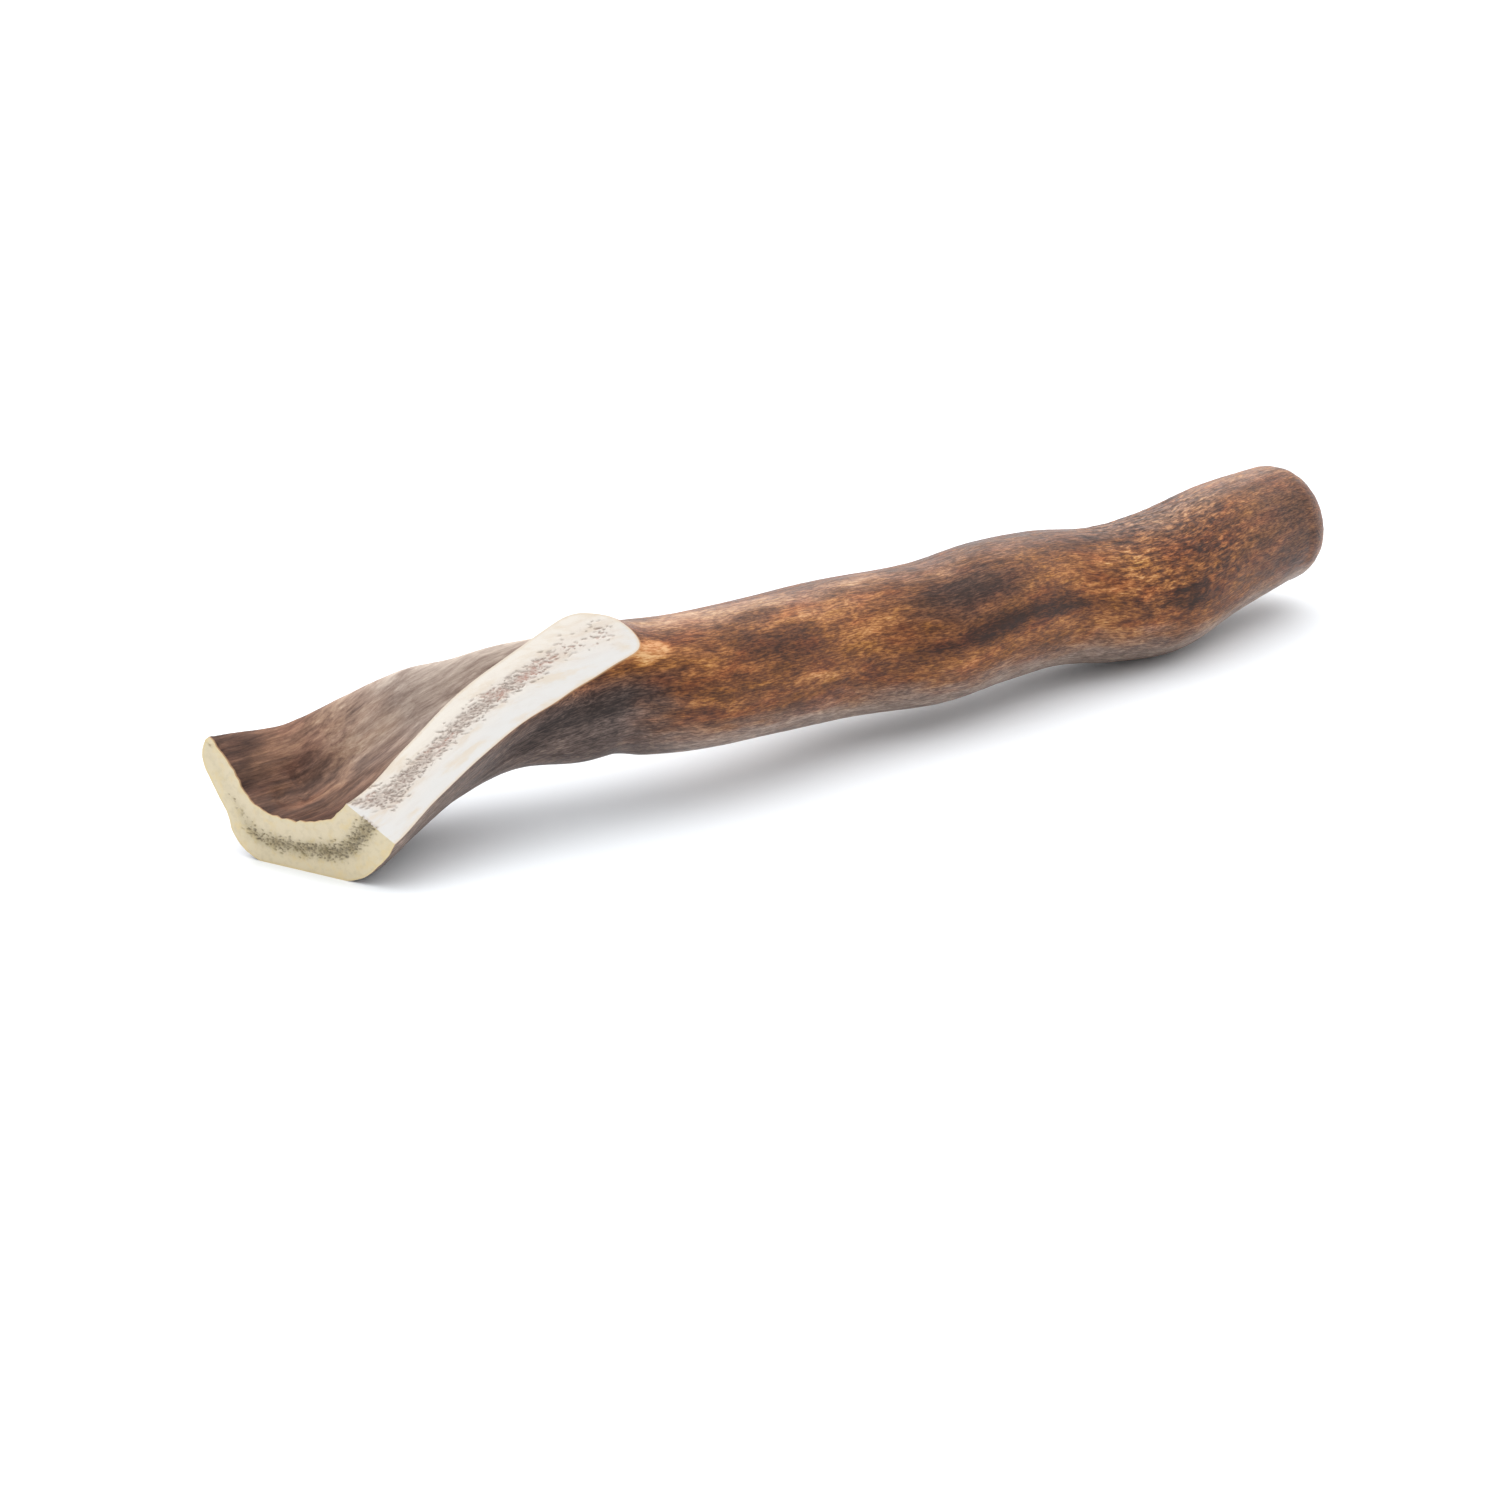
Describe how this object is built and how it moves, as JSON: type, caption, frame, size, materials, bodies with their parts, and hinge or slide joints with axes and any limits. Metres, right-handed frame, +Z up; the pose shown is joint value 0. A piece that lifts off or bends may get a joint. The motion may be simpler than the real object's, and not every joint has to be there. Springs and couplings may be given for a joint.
{
  "type": "deer antler",
  "caption": "Sawn length of shed deer antler: a round, slightly wavy beam that opens at one end into a trough-shaped palm, dressed by flat saw cuts that bare its porous core.",
  "frame": {"origin": "under the middle of the antler's bounding box, on the surface it lies on", "axes": "+X along the antler from the sawn palm to the far end, +Y towards the trough's back wall, +Z up"},
  "size_m": [0.2824, 0.044, 0.0422],
  "materials": {
    "antler_bone": "semi-gloss bark, dark brown with orange-tan streaks; saw cuts matt cream"
  },
  "bodies": {
    "root": {"antler": "antler_bone"}
  },
  "joints": []
}
